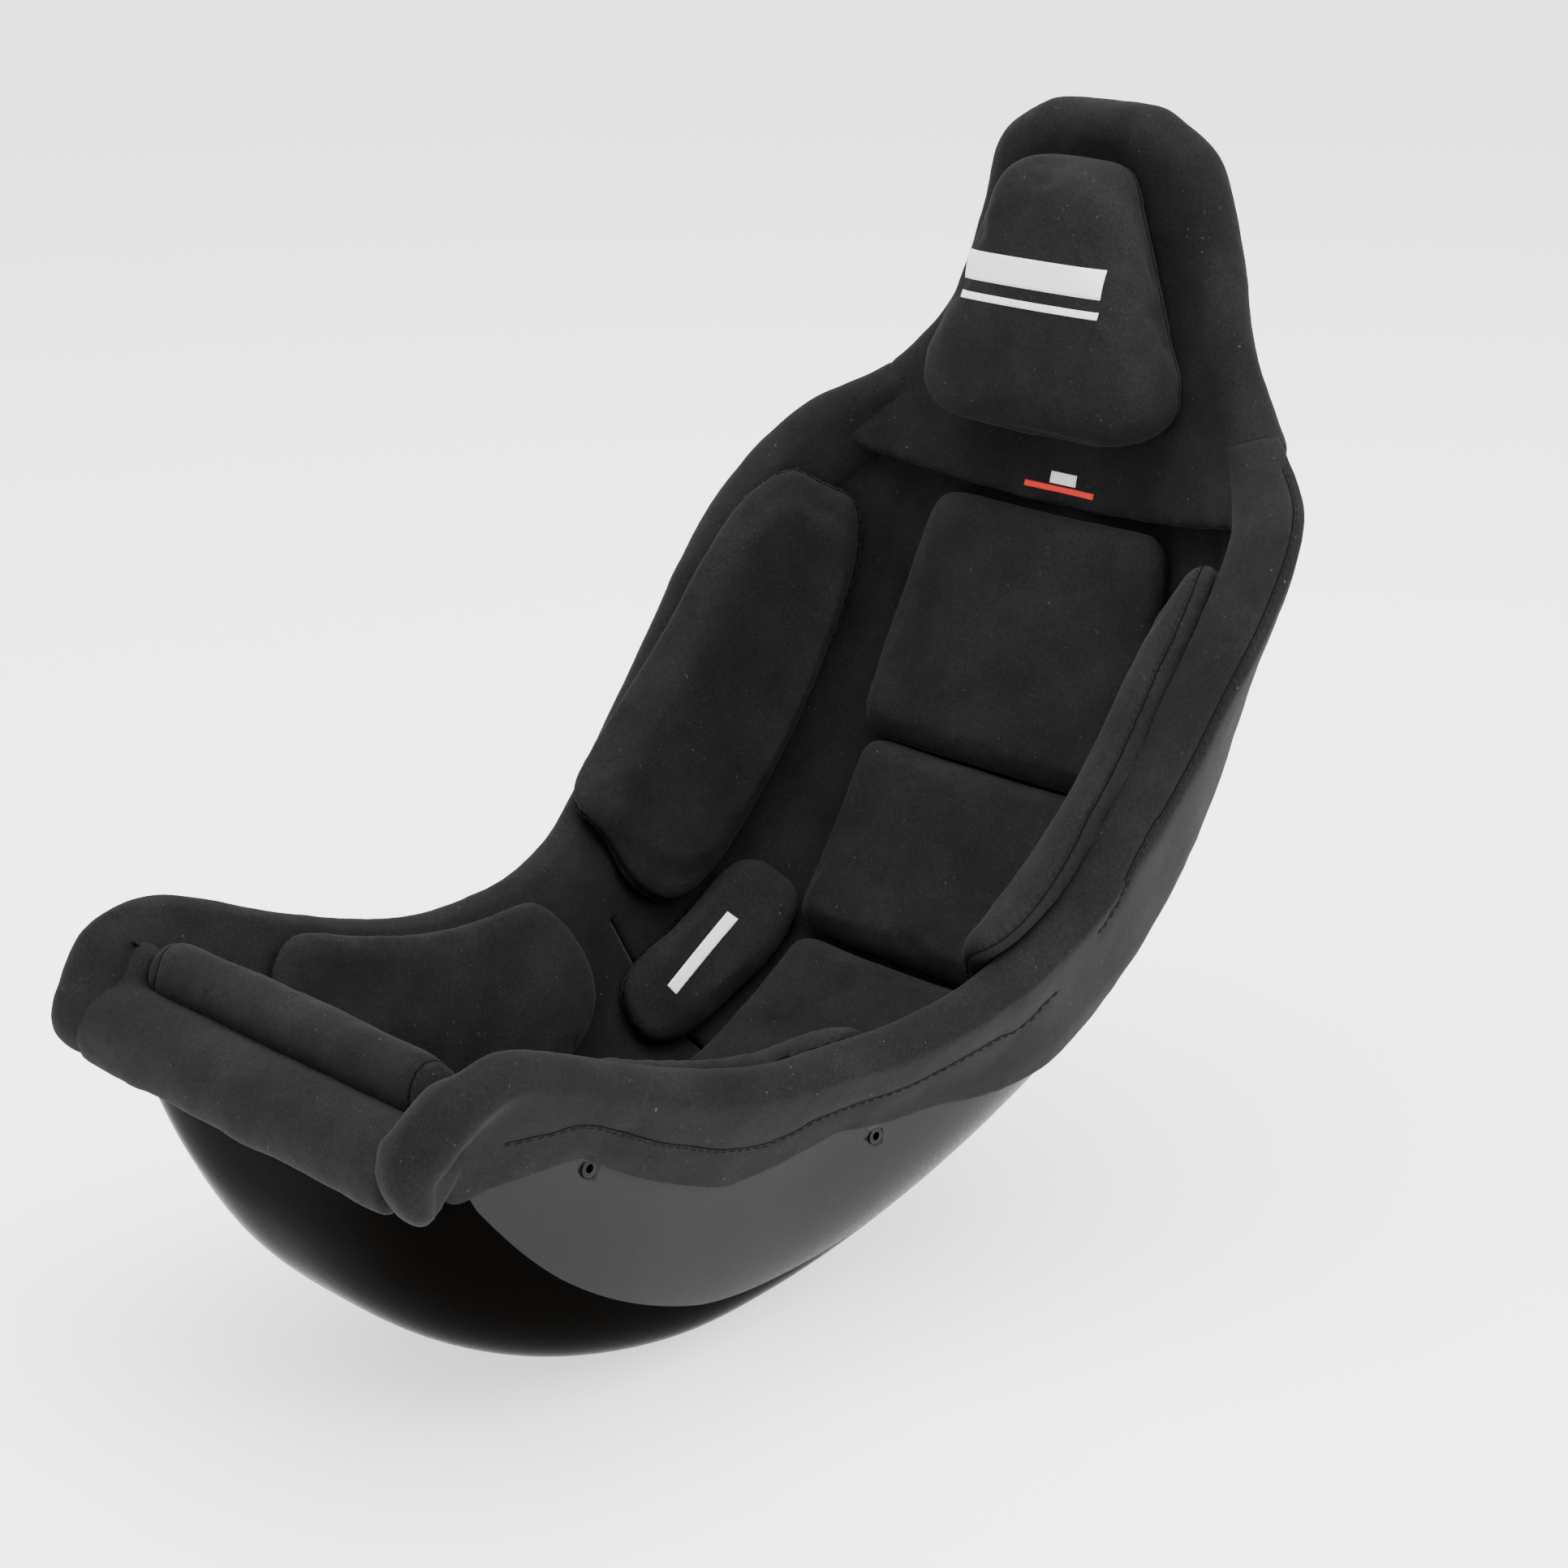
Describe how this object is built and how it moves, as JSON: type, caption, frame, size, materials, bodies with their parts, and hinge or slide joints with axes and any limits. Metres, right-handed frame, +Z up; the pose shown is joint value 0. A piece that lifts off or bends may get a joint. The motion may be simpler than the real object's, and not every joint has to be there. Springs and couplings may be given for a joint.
{
  "type": "racing bucket seat",
  "caption": "Deep one-piece bucket seat shell with a tall head section, padded rim, fabric lining and loose cushions held by hook-and-loop tape.",
  "frame": {"origin": "centre of the bounding box in plan, on the plane under the lowest point of the shell", "axes": "+Z up, the seat faces -Y, +X is the sitter's left; symmetric about X = 0"},
  "size_m": [0.6062, 0.9613, 0.8799],
  "materials": {
    "gel_coat": "black gel-coat over glass fibre, glossy",
    "plate_steel": "plain steel plate",
    "insert_steel": "zinc-plated steel, blackened",
    "lining_fabric": "black stretch knit bonded to foam",
    "edge_fabric": "black stretch knit over a foam roll",
    "cushion_fabric": "black stretch knit cushion cover",
    "foam": "closed-cell foam block",
    "hook_tape": "woven nylon hook tape",
    "loop_tape": "brushed nylon loop tape"
  },
  "bodies": {
    "seat_shell": {"shell": "gel_coat", "mount_plate_left": "plate_steel", "mount_plate_right": "plate_steel", "inserts_left": "insert_steel", "inserts_right": "insert_steel", "seat_lining": "lining_fabric", "torso_lining": "lining_fabric", "head_lining": "lining_fabric", "edge_roll_left": "edge_fabric", "edge_roll_right": "edge_fabric", "head_roll": "edge_fabric", "front_apron": "edge_fabric", "front_foam": "foam", "outer_band_left": "edge_fabric", "outer_band_right": "edge_fabric", "head_loops": "loop_tape", "torso_loops": "loop_tape", "seat_loops": "loop_tape"},
    "head_cushion_body": {"head_cushion": "cushion_fabric", "head_hooks": "hook_tape"},
    "upper_back_body": {"upper_back_cushion": "cushion_fabric", "upper_back_hooks": "hook_tape"},
    "lower_back_body": {"lower_back_cushion": "cushion_fabric", "lower_back_hooks": "hook_tape"},
    "seat_cushion_body": {"seat_cushion": "cushion_fabric", "seat_hooks": "hook_tape"},
    "front_seat_body": {"front_seat_cushion": "cushion_fabric", "front_seat_hooks": "hook_tape"},
    "knee_roll_body": {"knee_roll": "cushion_fabric", "knee_roll_hooks": "hook_tape"},
    "shoulder_left_body": {"shoulder_cushion_left": "cushion_fabric", "shoulder_hooks_left": "hook_tape"},
    "hip_left_body": {"hip_cushion_left": "cushion_fabric", "hip_hooks_left": "hook_tape"},
    "thigh_left_body": {"thigh_cushion_left": "cushion_fabric", "thigh_hooks_left": "hook_tape"},
    "shoulder_right_body": {"shoulder_cushion_right": "cushion_fabric", "shoulder_hooks_right": "hook_tape"},
    "hip_right_body": {"hip_cushion_right": "cushion_fabric", "hip_hooks_right": "hook_tape"},
    "thigh_right_body": {"thigh_cushion_right": "cushion_fabric", "thigh_hooks_right": "hook_tape"}
  },
  "joints": [
    {"name": "head_cushion_lift", "type": "slide", "parent": "seat_shell", "child": "head_cushion_body", "axis": [0, -0.9439, 0.3304], "range_m": [0, 0.15]},
    {"name": "upper_back_lift", "type": "slide", "parent": "seat_shell", "child": "upper_back_body", "axis": [0, -0.5145, 0.8575], "range_m": [0, 0.45]},
    {"name": "lower_back_lift", "type": "slide", "parent": "seat_shell", "child": "lower_back_body", "axis": [0, -0.8, 0.6], "range_m": [0, 0.52]},
    {"name": "seat_cushion_lift", "type": "slide", "parent": "seat_shell", "child": "seat_cushion_body", "axis": [0, -0.5145, 0.8575], "range_m": [0, 0.45]},
    {"name": "front_seat_lift", "type": "slide", "parent": "seat_shell", "child": "front_seat_body", "axis": [0, -0.5145, 0.8575], "range_m": [0, 0.45]},
    {"name": "knee_roll_lift", "type": "slide", "parent": "seat_shell", "child": "knee_roll_body", "axis": [0, -0.2873, 0.9578], "range_m": [0, 0.12]},
    {"name": "shoulder_left_lift", "type": "slide", "parent": "seat_shell", "child": "shoulder_left_body", "axis": [-0.0816, -0.5715, 0.8165], "range_m": [0, 0.38]},
    {"name": "hip_left_lift", "type": "slide", "parent": "seat_shell", "child": "hip_left_body", "axis": [-0.295, -0.4916, 0.8193], "range_m": [0, 0.25]},
    {"name": "thigh_left_lift", "type": "slide", "parent": "seat_shell", "child": "thigh_left_body", "axis": [-0.0995, 0, 0.995], "range_m": [0, 0.22]},
    {"name": "shoulder_right_lift", "type": "slide", "parent": "seat_shell", "child": "shoulder_right_body", "axis": [0.0816, -0.5715, 0.8165], "range_m": [0, 0.38]},
    {"name": "hip_right_lift", "type": "slide", "parent": "seat_shell", "child": "hip_right_body", "axis": [0.295, -0.4916, 0.8193], "range_m": [0, 0.25]},
    {"name": "thigh_right_lift", "type": "slide", "parent": "seat_shell", "child": "thigh_right_body", "axis": [0.0995, 0, 0.995], "range_m": [0, 0.22]}
  ]
}
